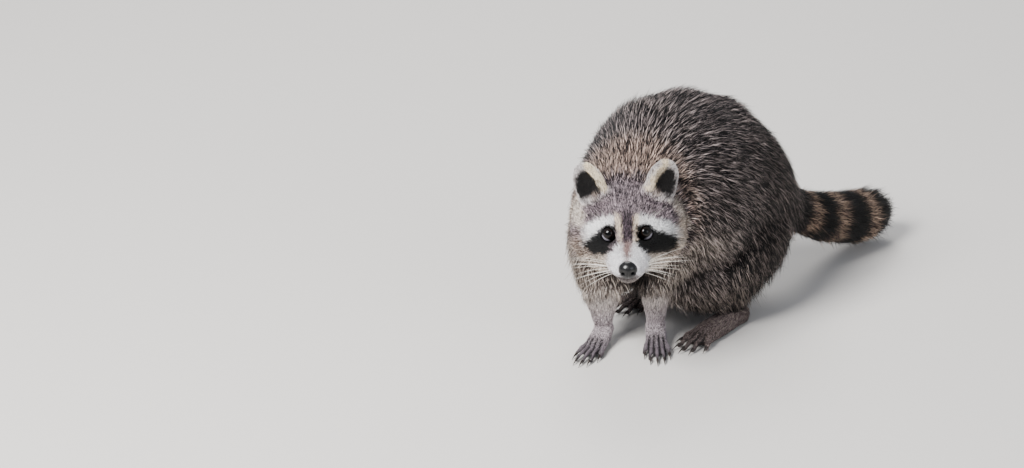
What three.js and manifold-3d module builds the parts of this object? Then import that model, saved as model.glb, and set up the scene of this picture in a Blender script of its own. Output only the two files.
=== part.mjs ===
// Common raccoon, a life-size still model in a low crouch: the head looks along -Y, and the trunk and the
// ringed tail trail back and to the animal's left (+X). Millimetres, +Z up, floor at z = 0.
// Every form is drawn out to the tips of the coat. The animal is made of lofted forms that run into each
// other, parted into the pieces that a person would name, with a thin cut between neighbours.
import * as THREE from "three";
import { mergeVertices } from "three/addons/utils/BufferGeometryUtils.js";
import Module from "manifold-3d";

const wasm = await Module();
wasm.setup();

// ---- Driving dimensions -------------------------------------------------------------------------------

const CUT = 0.35; // width of the thin cut between neighbouring pieces
const EYE_RADIUS = 8.6;
const EYE_SPREAD = 19.4; // from the middle of the face to the middle of an eye
const EYE_FORWARD = 9.5;
const MOUTH_HALF = 34; // half the width that the line of the mouth is cut over, wider than the muzzle
const FLOOR_REACH = 2000; // size of the slab that trims the soles level

// The head turns about the point midway between the eyes.
const HEAD = { at: new THREE.Vector3(-30.5, -25, 171), pitch: 0, roll: -2.5, yaw: 0 };

// ---- Materials ----------------------------------------------------------------------------------------

const finish = (color, roughness) => new THREE.MeshStandardMaterial({ color, roughness, metalness: 0 });
const COAT = finish(0x5b5149, 0.95);
const FACE_COAT = finish(0x8d8177, 0.95);
const TAIL_COAT = finish(0x4a3c31, 0.95);
const BARE_SKIN = finish(0x2d2727, 0.6);
const NOSE_SKIN = finish(0x0c0b0d, 0.3);
const EYE_GLOSS = finish(0x080506, 0.05);

// ---- Solids -------------------------------------------------------------------------------------------

/** Turns a closed BufferGeometry into a manifold-3d solid. */
function solidOf(geometry) {
  const bare = geometry.index ? geometry.toNonIndexed() : geometry.clone();
  bare.deleteAttribute("normal");
  bare.deleteAttribute("uv");
  const merged = mergeVertices(bare, 1e-4);
  return new wasm.Manifold(
    new wasm.Mesh({
      numProp: 3,
      vertProperties: new Float32Array(merged.attributes.position.array),
      triVerts: new Uint32Array(merged.index.array),
    }),
  );
}

/** Turns a manifold-3d solid into a named mesh. */
function meshOf(name, solid, material) {
  const { numProp, numVert, vertProperties, triVerts } = solid.getMesh();
  const position = new Float32Array(numVert * 3);
  for (let i = 0; i < numVert; i++) {
    position.set(vertProperties.subarray(i * numProp, i * numProp + 3), i * 3);
  }
  const geometry = new THREE.BufferGeometry()
    .setAttribute("position", new THREE.BufferAttribute(position, 3))
    .setIndex(new THREE.BufferAttribute(new Uint32Array(triVerts), 1));
  geometry.computeVertexNormals();
  const mesh = new THREE.Mesh(geometry, material);
  mesh.name = name;
  return mesh;
}

/** A smooth run of one number along a loft: 0 gives the first station's and 1 the last's. */
function smoothRun(values) {
  const curve = new THREE.CatmullRomCurve3(values.map((value) => new THREE.Vector3(value, 0, 0)));
  return (t) => curve.getPoint(t).x;
}

/**
 * A closed solid of oval rings along a smooth path. A station is { at: [x, y, z], half, rise, fall, pear }:
 * half the ring's width, its reach above and below the path, and how much wider it is below than above.
 * `side` is the way the rings' width runs; without one it is level and square to the path. `domes` are the
 * depths of the rounded ends, and `spare` makes the whole form larger all round, to cut a neighbour with.
 */
function loft(stations, { sides = 20, steps = 12, side = null, domes = [20, 20], domeRings = 3, spare = 0 }) {
  const path = new THREE.CatmullRomCurve3(stations.map(({ at }) => new THREE.Vector3(...at)));
  const half = smoothRun(stations.map((s) => s.half));
  const rise = smoothRun(stations.map((s) => s.rise));
  const fall = smoothRun(stations.map((s) => s.fall));
  const pear = smoothRun(stations.map((s) => s.pear ?? 0));
  const positions = [];
  const ringAt = (t, shrink, shift) => {
    const along = path.getTangent(t);
    const level = new THREE.Vector3(0, 0, 1);
    const across = side
      ? side.clone().addScaledVector(along, -side.dot(along)).normalize()
      : new THREE.Vector3().crossVectors(along, level).normalize();
    const up = new THREE.Vector3().crossVectors(across, along);
    const middle = path.getPoint(t).addScaledVector(along, shift);
    for (let k = 0; k < sides; k++) {
      const turn = (2 * Math.PI * k) / sides;
      const [c, s] = [Math.cos(turn), Math.sin(turn)];
      const x = (half(t) + spare) * shrink * c * (1 - pear(t) * s);
      const y = ((s > 0 ? rise(t) : fall(t)) + spare) * shrink * s;
      positions.push(middle.clone().addScaledVector(across, x).addScaledVector(up, y));
    }
    return middle;
  };
  const quarter = Math.PI / 2 / domeRings;
  const tips = [];
  tips.push(path.getPoint(0).addScaledVector(path.getTangent(0), -(domes[0] + spare)));
  for (let j = domeRings - 1; j > 0; j--) {
    ringAt(0, Math.cos(j * quarter), -(domes[0] + spare) * Math.sin(j * quarter));
  }
  for (let i = 0; i <= steps; i++) ringAt(i / steps, 1, 0);
  for (let j = 1; j < domeRings; j++) {
    ringAt(1, Math.cos(j * quarter), (domes[1] + spare) * Math.sin(j * quarter));
  }
  tips.push(path.getPoint(1).addScaledVector(path.getTangent(1), domes[1] + spare));

  const rings = positions.length / sides;
  const faces = [];
  for (let i = 0; i < rings - 1; i++) {
    for (let k = 0; k < sides; k++) {
      const next = (k + 1) % sides;
      const [a, b] = [i * sides + k, i * sides + next];
      faces.push(a, a + sides, b, a + sides, b + sides, b);
    }
  }
  const [first, last, end] = [positions.length, positions.length + 1, (rings - 1) * sides];
  for (let k = 0; k < sides; k++) {
    const next = (k + 1) % sides;
    faces.push(first, k, next, last, end + next, end + k);
  }
  return solidOf(new THREE.BufferGeometry().setFromPoints([...positions, ...tips]).setIndex(faces));
}

/** A ball stretched to three half sizes and put at a place, turned by degrees about X, Y and Z. */
function ball(at, sizes, { turn = [0, 0, 0], segments = [12, 8], spare = 0 } = {}) {
  const angles = turn.map(THREE.MathUtils.degToRad);
  const place = new THREE.Matrix4().compose(
    new THREE.Vector3(...at),
    new THREE.Quaternion().setFromEuler(new THREE.Euler(...angles, "ZYX")),
    new THREE.Vector3(...sizes.map((size) => size + spare)),
  );
  return solidOf(new THREE.SphereGeometry(1, ...segments).applyMatrix4(place));
}

const station = (at, half, rise, fall, pear = 0) => ({ at, half, rise, fall, pear });

/** The matrix that puts a form at a place, turned in degrees: yaw about Z, pitch about X, roll about Y. */
function placed(at, yaw = 0, pitch = 0, roll = 0) {
  const angles = [pitch, roll, yaw].map(THREE.MathUtils.degToRad);
  return new THREE.Matrix4().compose(
    new THREE.Vector3(...at),
    new THREE.Quaternion().setFromEuler(new THREE.Euler(...angles, "ZXY")),
    new THREE.Vector3(1, 1, 1),
  );
}

const moved = (solid, matrix) => solid.transform(matrix.elements);
const joined = (solids) => solids.reduce((whole, solid) => whole.add(solid));

/** Everything under the floor, to trim what stands on it to level flats. */
const underFloor = solidOf(
  new THREE.BoxGeometry(FLOOR_REACH, FLOOR_REACH, FLOOR_REACH).translate(0, 0, -FLOOR_REACH / 2),
);

// ---- Head, in its own frame: the face looks along -Y, the eyes' middle is the origin -------------------

const headFrame = placed(HEAD.at.toArray(), HEAD.yaw, HEAD.pitch, HEAD.roll);

/** The skull and the ruff of the cheeks, from the muzzle's end to the nape. */
function skullForm(spare) {
  const rings = [
    station([0, -50, -29], 12.5, 9, 9, 0.05),
    station([0, -43, -29], 19, 13.5, 13, 0.12),
    station([0, -32, -27], 23, 17.5, 18, 0.16),
    station([0, -20, -23], 26.5, 22, 27, 0.16),
    station([0, -8, -16], 38, 29, 38, 0.14),
    station([0, 8, -10], 54, 38, 49, 0.18),
    station([0, 26, -10], 65, 48, 54, 0.2),
    station([0, 46, -11], 69, 52, 56, 0.16),
    station([0, 68, -11], 66, 54, 56, 0.1),
    station([0, 90, -10], 54, 48, 50, 0),
  ];
  return loft(rings, { sides: 18, steps: 13, domes: [8, 22], domeRings: 2, spare });
}

/** The chin and the underside of the jaw, which hang a little below the upper lip. */
function chinForm() {
  const rings = [
    station([0, -43, -38], 11, 6, 8),
    station([0, -28, -40], 16, 8, 10),
    station([0, -10, -42], 21, 10, 13),
  ];
  return loft(rings, { sides: 10, steps: 3, domes: [6, 10], domeRings: 2 });
}

const headWhole = skullForm(0).add(chinForm());

/** All that lies under the line of the mouth, which runs back from the nose and turns down at its corner. */
function underMouth(spare) {
  const profile = new THREE.Shape([
    new THREE.Vector2(-62, -36.5 + spare),
    new THREE.Vector2(-40, -37.5 + spare),
    new THREE.Vector2(-22, -39 + spare),
    new THREE.Vector2(-9 + spare, -43 + spare),
    new THREE.Vector2(-6 + spare, -70),
    new THREE.Vector2(-62, -70),
  ]);
  const slab = new THREE.ExtrudeGeometry(profile, { depth: 2 * MOUTH_HALF, bevelEnabled: false });
  const toSideView = new THREE.Matrix4().makeBasis(
    new THREE.Vector3(0, 1, 0),
    new THREE.Vector3(0, 0, 1),
    new THREE.Vector3(1, 0, 0),
  );
  return solidOf(slab.translate(0, 0, -MOUTH_HALF).applyMatrix4(toSideView));
}

const NOSE = { at: [0, -52, -25], sizes: [10.6, 9, 8.4] };
const NOSTRIL = { at: [5, -60, -25.5], sizes: [2.6, 3.6, 1.9], lean: 28 };

const noseForm = (spare) => ball(NOSE.at, NOSE.sizes, { segments: [10, 6], spare });

function nostril(sign) {
  const [x, y, z] = NOSTRIL.at;
  return ball([sign * x, y, z], NOSTRIL.sizes, { turn: [0, sign * NOSTRIL.lean, 0], segments: [6, 4] });
}

// An ear is an upright cup, widest low down and rounded at the tip: its mouth faces forward and outward.
const EAR = { at: [41, 38, 42], yaw: 22, pitch: -12, roll: 24 };
const EAR_WIDTH_WAY = new THREE.Vector3(1, 0, 0);

function earForm(sign) {
  const [x, y, z] = EAR.at;
  const shell = [
    station([0, 0, -22], 16, 8, 10),
    station([0, 0, -8], 20, 7, 10),
    station([0, 1, 8], 19.5, 6, 9),
    station([0, 2, 20], 13.5, 5, 6.5),
  ];
  const hollow = [
    station([0, -9, -12], 10, 6, 7),
    station([0, -9, 2], 14, 8, 11),
    station([0, -7, 13], 10.5, 8, 8.5),
  ];
  const cup = loft(shell, { sides: 12, steps: 4, side: EAR_WIDTH_WAY, domes: [6, 8], domeRings: 2 });
  const inside = loft(hollow, { sides: 10, steps: 3, side: EAR_WIDTH_WAY, domes: [7, 7], domeRings: 2 });
  return moved(cup.subtract(inside), placed([sign * x, y, z], sign * EAR.yaw, EAR.pitch, sign * EAR.roll));
}

function eyeForm(sign, spare) {
  const size = EYE_RADIUS + spare;
  return ball([sign * EYE_SPREAD, -EYE_FORWARD, 0], [size, size, size], { segments: [12, 7] });
}

// The shallow hollow round an eye, between the brow and the cheek.
const ORBIT = { outward: 1, forward: 8, sizes: [10.5, 5.5, 8.5], turn: 25 };

function orbitForm(sign) {
  const at = [sign * (EYE_SPREAD + ORBIT.outward), -EYE_FORWARD - ORBIT.forward, 0];
  return ball(at, ORBIT.sizes, { turn: [0, 0, sign * ORBIT.turn], segments: [10, 6] });
}

const SIDES = { left: 1, right: -1 };
const sidePairs = Object.entries(SIDES);

function buildHead() {
  const group = new THREE.Group();
  group.position.copy(HEAD.at);
  group.rotation.setFromRotationMatrix(headFrame);

  let head = headWhole.subtract(underMouth(CUT)).subtract(noseForm(CUT));
  const nose = sidePairs.reduce((solid, [, sign]) => solid.subtract(nostril(sign)), noseForm(0));
  for (const [name, sign] of sidePairs) {
    head = head.subtract(eyeForm(sign, CUT)).subtract(orbitForm(sign));
    group.add(meshOf(`eye_${name}`, eyeForm(sign, 0), EYE_GLOSS));
    group.add(meshOf(`ear_${name}`, earForm(sign).subtract(skullForm(CUT)), FACE_COAT));
  }
  group.add(meshOf("head", head, FACE_COAT));
  group.add(meshOf("lower_jaw", headWhole.intersect(underMouth(0)).subtract(noseForm(CUT)), FACE_COAT));
  group.add(meshOf("nose", nose, NOSE_SKIN));
  return group;
}

const headCutter = moved(skullForm(CUT), headFrame);

// ---- Paws, each in its own frame: the digits point along -Y, and the sole is on the floor --------------

// Shares of a digit's radius: how high its knuckle and its tip lie, how far it arches, and how it thins.
const DIGIT = { knuckle: 1.9, tip: 0.6, arch: 1.1, archFrom: 1.15, thinning: 0.22 };
const NAIL = { base: 0.45, baseRise: 0.5, point: 0.13, pointDrop: -0.35, embed: -1 };

/** A digit with its claw, from a knuckle to the floor. */
function digitForm({ root, tip, radius, claw, spare }) {
  const flesh = [0, 0.35, 0.75, 1].map((t) => {
    const arch = radius * DIGIT.arch * Math.sin(Math.PI * Math.min(1, t * DIGIT.archFrom));
    const at = root.map((value, axis) => value + (tip[axis] - value) * t + (axis === 2 ? arch : 0));
    const size = radius * (1 - DIGIT.thinning * t);
    return station(at, size, size, size);
  });
  const heading = Math.atan2(tip[0] - root[0], root[1] - tip[1]);
  const ahead = (far, rise) => {
    return [tip[0] + Math.sin(heading) * far, tip[1] - Math.cos(heading) * far, tip[2] + radius * rise];
  };
  const [thick, thin] = [radius * NAIL.base, radius * NAIL.point];
  const nail = [
    station(ahead(NAIL.embed, NAIL.baseRise), thick, thick, thick),
    station(ahead(claw, NAIL.pointDrop), thin, thin, thin),
  ];
  const toe = loft(flesh, { sides: 5, steps: 2, domes: [radius * 0.5, radius * 0.7], domeRings: 1, spare });
  return toe.add(loft(nail, { sides: 3, steps: 1, domes: [0.5, 0.6], domeRings: 1, spare }));
}

/** A paw: a padded palm or sole with five digits fanned from its front edge. */
function pawForm({ sole, digits, fan, radius, claw, sign, spare = 0 }) {
  const palm = loft(sole, { sides: 9, steps: 3, domes: [7, 6], domeRings: 2, spare });
  const toes = digits.map(({ x, y, length }) => {
    const turn = THREE.MathUtils.degToRad(fan * x);
    const root = [sign * x, y, radius * DIGIT.knuckle];
    const tip = [sign * (x + Math.sin(turn) * length), y - Math.cos(turn) * length, radius * DIGIT.tip];
    return digitForm({ root, tip, radius, claw, spare });
  });
  return joined([palm, ...toes]);
}

// Digits run from the thumb's side outwards; fan is how far each spreads, in degrees for a millimetre of x.
const FORE_PAW = {
  sole: [
    station([0, -21, 8], 11.5, 6.5, 10),
    station([0, -10, 10], 12.5, 8, 12.5),
    station([0, 2, 14], 12, 9.5, 15),
    station([0, 11, 22], 11.5, 9, 12),
  ],
  digits: [
    { x: -9.8, y: -12, length: 24 },
    { x: -5.4, y: -20, length: 31 },
    { x: 0, y: -22, length: 34 },
    { x: 5.4, y: -20, length: 32 },
    { x: 9.8, y: -13, length: 26 },
  ],
  fan: 1.2,
  radius: 3.4,
  claw: 9,
};

const HIND_PAW = {
  sole: [
    station([0, -34, 8], 16, 6.5, 10),
    station([0, -18, 10], 17, 8.5, 12.5),
    station([0, 6, 12], 15, 10, 14),
    station([0, 30, 13], 13, 11, 15),
    station([0, 46, 14], 12, 12, 15.5),
  ],
  digits: [
    { x: -13, y: -24, length: 17 },
    { x: -7, y: -34, length: 22 },
    { x: 0, y: -37, length: 24 },
    { x: 7, y: -35, length: 23 },
    { x: 13.5, y: -25, length: 20 },
  ],
  fan: 1.2,
  radius: 4.1,
  claw: 9,
};

// ---- Limbs: the run of each leg from shoulder or hip to ankle, and where its paw stands -----------------

const LIMBS = {
  fore_left: {
    paw: { ...FORE_PAW, at: [1, 50, 0], yaw: 2 },
    upper: [
      station([6, 84, 150], 30, 34, 32),
      station([12, 76, 125], 35, 38, 36),
      station([8, 70, 100], 30, 32, 31),
      station([3, 64, 80], 24, 24, 24),
    ],
    lower: [
      station([3, 66, 88], 21, 21, 21),
      station([1, 61, 62], 18, 17, 17),
      station([0, 57, 40], 13, 12, 12),
      station([1, 57, 26], 11.5, 10, 10),
    ],
  },
  fore_right: {
    paw: { ...FORE_PAW, at: [-61, 42, 0], yaw: -22 },
    upper: [
      station([-50, 84, 150], 30, 34, 32),
      station([-65, 75, 125], 38, 38, 36),
      station([-66, 66, 100], 36, 33, 33),
      station([-64, 60, 76], 29, 26, 26),
    ],
    lower: [
      station([-60, 60, 88], 24, 22, 22),
      station([-60, 55, 62], 22, 19, 19),
      station([-59, 50, 40], 15, 14, 14),
      station([-59, 48, 26], 11.5, 10, 10),
    ],
  },
  hind_left: {
    paw: { ...HIND_PAW, at: [70, 72, 0], yaw: -38 },
    upper: [
      station([128, 160, 114], 34, 52, 50),
      station([112, 137, 100], 40, 58, 52),
      station([96, 114, 82], 40, 52, 48),
      station([84, 97, 64], 33, 40, 38),
    ],
    lower: [
      station([87, 99, 60], 21, 24, 24),
      station([91, 102, 44], 17, 20, 20),
      station([94, 104, 28], 13, 14, 14),
    ],
  },
  hind_right: {
    paw: { ...HIND_PAW, at: [-2, 172, 0], yaw: -42 },
    upper: [
      station([76, 223, 114], 34, 52, 50),
      station([57, 216, 100], 40, 58, 52),
      station([37, 207, 82], 39, 52, 48),
      station([20, 199, 64], 32, 40, 38),
    ],
    lower: [
      station([20, 200, 60], 21, 24, 24),
      station([22, 203, 44], 17, 20, 20),
      station([23, 204, 28], 13, 14, 14),
    ],
  },
};

// The way a leg's width runs: across the chest in front, and square to the slanting flank behind.
const LEG_SIDE = new THREE.Vector3(1, 0, 0);
const HAUNCH_SIDE = new THREE.Vector3(0.74, -0.67, 0);

function buildLimb(name, { paw, upper, lower }) {
  const hind = name.startsWith("hind");
  const side = hind ? HAUNCH_SIDE : LEG_SIDE;
  const domes = hind ? [26, 26] : [20, 10];
  const sign = name.endsWith("left") ? 1 : -1;
  const pawFrame = placed(paw.at, paw.yaw);
  const pawSolid = (spare) => moved(pawForm({ ...paw, sign, spare }), pawFrame);
  const lowerForm = (spare) => loft(lower, { sides: 9, steps: 2, side, domes: [8, 5], domeRings: 2, spare });
  const upperForm = (spare) => loft(upper, { sides: 10, steps: 4, side, domes, domeRings: 2, spare });
  const [upperName, lowerName] = hind ? ["thigh", "shank"] : ["upper_arm", "forearm"];
  return {
    cutter: joined([upperForm(CUT), lowerForm(CUT), pawSolid(CUT)]),
    pieces: {
      [`${upperName}_${name}`]: [upperForm(0).subtract(lowerForm(CUT)).subtract(pawSolid(CUT)), COAT],
      [`${lowerName}_${name}`]: [lowerForm(0).subtract(pawSolid(CUT)), COAT],
      [`paw_${name}`]: [pawSolid(0), BARE_SKIN],
    },
  };
}

// ---- Neck, trunk and tail -----------------------------------------------------------------------------

// The spine runs back from the shoulders, swings to the animal's left and falls to the root of the tail.

const NECK = [
  station([-30, 14, 152], 56, 50, 58, 0.1),
  station([-29, 36, 156], 71, 60, 70, 0.12),
  station([-24, 60, 161], 80, 71, 78, 0.1),
];

const TRUNK = [
  station([-32, 46, 142], 60, 58, 58),
  station([-27, 66, 149], 79, 79, 77, 0.04),
  station([-12, 92, 156], 97, 100, 94, 0.04),
  station([14, 119, 161], 104, 115, 112, 0.06),
  station([45, 147, 157], 99, 112, 112, 0.1),
  station([79, 174, 142], 88, 91, 96, 0.1),
  station([110, 197, 122], 71, 71, 76, 0.04),
  station([134, 214, 107], 48, 49, 50),
];

// Long hair hangs from each flank, between the elbow and the knee, and from the chest between the fore legs.
const FLANKS = [
  [
    station([14, 66, 92], 14, 34, 38),
    station([36, 74, 86], 22, 42, 48),
    station([64, 86, 78], 26, 44, 50),
    station([92, 104, 76], 24, 40, 48),
  ],
  [
    station([-56, 118, 92], 14, 34, 36),
    station([-38, 142, 86], 22, 42, 46),
    station([-16, 166, 82], 24, 44, 48),
    station([10, 192, 80], 24, 40, 46),
  ],
];
const CHEST = { at: [-28, 74, 92], sizes: [33, 28, 32] };

const TAIL = [
  station([128, 200, 106], 27, 29, 27),
  station([161, 229, 85], 33, 35, 32),
  station([190, 261, 64], 35, 38, 35),
  station([217, 293, 49], 36, 40, 37),
  station([241, 323, 39], 35, 40, 40),
  station([259, 346, 36], 30, 35, 31),
];

function buildBody() {
  const group = new THREE.Group();
  const limbs = Object.entries(LIMBS).map(([name, limb]) => buildLimb(name, limb));
  const limbCutter = joined(limbs.map(({ cutter }) => cutter));

  const neckForm = (spare) => loft(NECK, { sides: 16, steps: 2, domes: [12, 20], domeRings: 2, spare });
  const tailForm = (spare) => loft(TAIL, { sides: 12, steps: 7, domes: [12, 24], domeRings: 2, spare });
  const flankForms = FLANKS.map((run) => loft(run, { sides: 8, steps: 3, domes: [14, 14], domeRings: 2 }));
  const chestForm = ball(CHEST.at, CHEST.sizes, { segments: [9, 6] });
  const trunkForm = joined([
    loft(TRUNK, { sides: 16, steps: 8, domes: [22, 16], domeRings: 2 }),
    ...flankForms,
    chestForm,
  ]);

  const neck = neckForm(0).subtract(limbCutter);
  const trunk = trunkForm.subtract(joined([neckForm(CUT), limbCutter, tailForm(CUT)]));
  const tail = tailForm(0).subtract(limbCutter);

  const pieces = { neck: [neck, COAT], trunk: [trunk, COAT], tail: [tail, TAIL_COAT] };
  limbs.forEach((limb) => Object.assign(pieces, limb.pieces));
  const away = joined([headCutter, underFloor]);
  for (const [name, [solid, material]] of Object.entries(pieces)) {
    group.add(meshOf(name, solid.subtract(away), material));
  }
  return group;
}

// ---- The raccoon, set down with the middle of its footprint at the origin -----------------------------

const raccoon = new THREE.Group();
raccoon.add(buildHead(), buildBody());
raccoon.updateMatrixWorld(true);
const middle = new THREE.Box3().setFromObject(raccoon).getCenter(new THREE.Vector3());
raccoon.position.set(-middle.x, -middle.y, 0);

export default raccoon;
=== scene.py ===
import math

import bmesh
import bpy
import numpy as np
from mathutils import Matrix, Vector
from mathutils.bvhtree import BVHTree
from mathutils.kdtree import KDTree


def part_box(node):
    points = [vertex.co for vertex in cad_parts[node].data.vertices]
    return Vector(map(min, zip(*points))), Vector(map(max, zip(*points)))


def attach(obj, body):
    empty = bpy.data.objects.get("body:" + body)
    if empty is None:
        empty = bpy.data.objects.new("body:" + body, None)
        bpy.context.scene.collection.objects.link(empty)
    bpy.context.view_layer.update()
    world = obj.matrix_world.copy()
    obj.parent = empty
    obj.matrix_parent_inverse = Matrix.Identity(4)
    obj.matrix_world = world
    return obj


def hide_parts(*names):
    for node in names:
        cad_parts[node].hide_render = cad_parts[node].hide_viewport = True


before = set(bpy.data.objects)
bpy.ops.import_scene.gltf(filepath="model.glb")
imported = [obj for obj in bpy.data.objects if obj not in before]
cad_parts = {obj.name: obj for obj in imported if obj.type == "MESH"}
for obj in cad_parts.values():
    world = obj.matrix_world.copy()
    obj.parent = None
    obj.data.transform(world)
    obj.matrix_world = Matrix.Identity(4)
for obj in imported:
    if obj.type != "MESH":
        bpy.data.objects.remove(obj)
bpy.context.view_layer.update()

# ---- Camera, floor and light ----------------------------------------------------------------------------
# A long lens looks down at the animal from in front. It stands on a plain pale studio floor, under a large
# soft lamp high on its right, a weaker one on its left and a low one behind, in an even pale room.


def middle(*nodes):
    """The middle of some CAD nodes' boxes, each counted alike."""
    return sum(((low + high) / 2 for low, high in map(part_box, nodes)), Vector()) / len(nodes)


# START is a point on the floor by the left fore fingertips. The animal is laid out in millimetres from it.
EYES_FROM_START = Vector((-0.0305, -0.0345, 0.171))
START = middle("eye_left", "eye_right") - EYES_FROM_START

# The camera looks down by ELEVATION from REACH metres, turned a little to the left of START and above it.
ELEVATION = math.radians(25)
REACH = 4.2
SIDE_TURN = 0.0383
LIFT_TURN = 0.034

forward = Vector((0, math.cos(ELEVATION), -math.sin(ELEVATION)))
upward = Vector((0, math.sin(ELEVATION), math.cos(ELEVATION)))
aim = (forward - SIDE_TURN * Vector((1, 0, 0)) + LIFT_TURN * upward).normalized()
across = (Vector((1, 0, 0)) - aim * aim.x).normalized()
turn = Matrix((across, across.cross(aim), -aim)).transposed()

camera = bpy.data.objects.new("camera", bpy.data.cameras.new("camera"))
camera.data.lens = 131.25
camera.data.sensor_width = 36
camera.data.clip_end = 60
camera.matrix_world = Matrix.Translation(START - REACH * forward) @ turn.to_4x4()
bpy.context.scene.collection.objects.link(camera)
bpy.context.scene.camera = camera


class Wire:
    """An output of a material's nodes. Sums and products of wires add Math nodes."""

    def __init__(self, tree, socket=None):
        self.tree = tree
        self.socket = socket

    def node(self, kind, settings=(), output=0, **sockets):
        """A node: its settings first, then a value or a wire for each socket, by name or as s0, s1..."""
        made = self.tree.nodes.new(kind)
        for name, value in dict(settings).items():
            setattr(made, name, value)
        for name, value in sockets.items():
            number = name[1:]
            socket = made.inputs[int(number)] if number.isdigit() else made.inputs[name.replace("_", " ")]
            if isinstance(value, Wire):
                self.tree.links.new(value.socket, socket)
            else:
                socket.default_value = value
        return Wire(self.tree, made.outputs[output])

    def maths(self, operation, *others):
        """A Math node of this wire and up to two more numbers or wires."""
        values = {f"s{number}": value for number, value in enumerate((self, *others))}
        return self.node("ShaderNodeMath", {"operation": operation}, **values)

    def __add__(self, other):
        return self.maths("ADD", other)

    def __sub__(self, other):
        return self.maths("SUBTRACT", other)

    def __rsub__(self, other):
        return self.node("ShaderNodeMath", {"operation": "SUBTRACT"}, s0=other, s1=self)

    def __mul__(self, other):
        return self.maths("MULTIPLY", other)

    __radd__ = __add__
    __rmul__ = __mul__

    def between(self, low, high):
        """0 below low and 1 above high, with a soft change from one to the other."""
        settings = {"interpolation_type": "SMOOTHSTEP"}
        return self.node("ShaderNodeMapRange", settings, Value=self, From_Min=low, From_Max=high)

    def mix(self, first, second):
        """One colour where this wire is 0, and the other where it is 1."""
        first, second = (tone if isinstance(tone, Wire) else (*tone, 1) for tone in (first, second))
        return self.node("ShaderNodeMix", {"data_type": "RGBA"}, 2, s0=self, s6=first, s7=second)

    def place(self):
        """The place on the piece, in its own space."""
        return self.node("ShaderNodeTexCoord", output=3)

    def noise(self, scale, detail=2.0, roughness=0.5):
        """Soft lumps in the piece's own space, scale to a metre."""
        return self.node("ShaderNodeTexNoise", Vector=self.place(), Scale=scale, Detail=detail,
                         Roughness=roughness)

    def own(self, name):
        """A number that the mesh carries at its points."""
        return self.node("ShaderNodeAttribute", {"attribute_name": name}, 2)

    def own_tone(self, name):
        """A colour that the mesh carries at its points."""
        return self.node("ShaderNodeAttribute", {"attribute_name": name}, 0)


def new_finish(name, **constant):
    """A material, its shader with some sockets set, and a wire to build the rest from."""
    material = bpy.data.materials.new(name)
    material.use_nodes = True
    shader = material.node_tree.nodes["Principled BSDF"]
    for socket, value in constant.items():
        shader.inputs[socket.replace("_", " ")].default_value = value
    return material, shader, Wire(material.node_tree)


def feed(shader, **wires):
    """Joins wires to a shader's sockets."""
    for name, wire in wires.items():
        wire.tree.links.new(wire.socket, shader.inputs[name.replace("_", " ")])


def paint(red, green, blue):
    """A colour from its three everyday values of 0 to 255."""
    shares = [value / 255 for value in (red, green, blue)]
    return tuple(s / 12.92 if s <= 0.04045 else ((s + 0.055) / 1.055) ** 2.4 for s in shares)


def add_object(name, mesh):
    """A mesh shown under a name, at the origin."""
    shown = bpy.data.objects.new(name, mesh)
    bpy.context.scene.collection.objects.link(shown)
    return shown


FLOOR_SIZE = 14

sheet = bmesh.new()
bmesh.ops.create_grid(sheet, x_segments=1, y_segments=1, size=FLOOR_SIZE / 2)
floor_mesh = bpy.data.meshes.new("floor")
sheet.to_mesh(floor_mesh)
floor = add_object("floor", floor_mesh)
floor_finish, floor_shader, floor_wire = new_finish("studio_floor", Roughness=0.85)
mottle = floor_wire.noise(1.5).between(0.3, 0.7) * 0.05
feed(floor_shader, Base_Color=mottle.mix(paint(206, 203, 199), paint(190, 187, 183)))
floor.data.materials.append(floor_finish)


LAMPS_AIM = Vector((0, 0, 0.12))


def add_lamp(name, place, size, power, tone):
    """A square soft lamp aimed at the animal."""
    lamp = bpy.data.lights.new(name, "AREA")
    lamp.size = size
    lamp.energy = power
    lamp.color = tone
    held = bpy.data.objects.new(name, lamp)
    held.location = place
    held.rotation_euler = (LAMPS_AIM - Vector(place)).to_track_quat("-Z", "Y").to_euler()
    bpy.context.scene.collection.objects.link(held)


add_lamp("key_lamp", (-1.6, -1.7, 2.4), 1.4, 260, (1.0, 0.985, 0.965))
add_lamp("fill_lamp", (2.0, -2.0, 1.4), 1.6, 26, (0.93, 0.96, 1.0))
add_lamp("rim_lamp", (-0.3, 2.2, 2.3), 1.4, 60, (1.0, 0.99, 0.97))

room = bpy.data.worlds.new("room")
room.use_nodes = True
walls = room.node_tree.nodes["Background"].inputs
walls["Color"].default_value = (0.86, 0.90, 1.0, 1)
walls["Strength"].default_value = 0.48
bpy.context.scene.world = room


# ---- Skin -----------------------------------------------------------------------------------------------
# One closed hide takes the place of all the flesh, from the muzzle's end to the tail's tip. It is cast over
# the solids, smoothed, and sunk under their surface by the coat's depth, with lids drawn over the eyes.

FLESH = sorted(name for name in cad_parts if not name.startswith(("eye_", "nose")))

# The grain of the casting, and how far the solids are pushed out before it, in millimetres.
VOXEL = 1.5
HAIRS_BREADTH = 0.25


def of_kind(*starts):
    """The numbers of the flesh parts whose names start so."""
    return [number for number, name in enumerate(FLESH) if name.startswith(starts)]


def on_parts(*starts):
    """Whether each point is on a flesh part whose name starts so."""
    return np.isin(parts, of_kind(*starts))


def by_part(values):
    """A value for each flesh part, by the start of its name, and 0 for the rest."""
    table = np.zeros(len(FLESH))
    for start, value in values.items():
        table[of_kind(start)] = value
    return table


def to_mm(points):
    """Points of the frame, in millimetres from START."""
    return (np.asarray(points) - np.array(START)) * 1000


def to_frame(points):
    """Points in millimetres from START, in metres in the frame."""
    return np.asarray(points) / 1000 + np.array(START)


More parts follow.
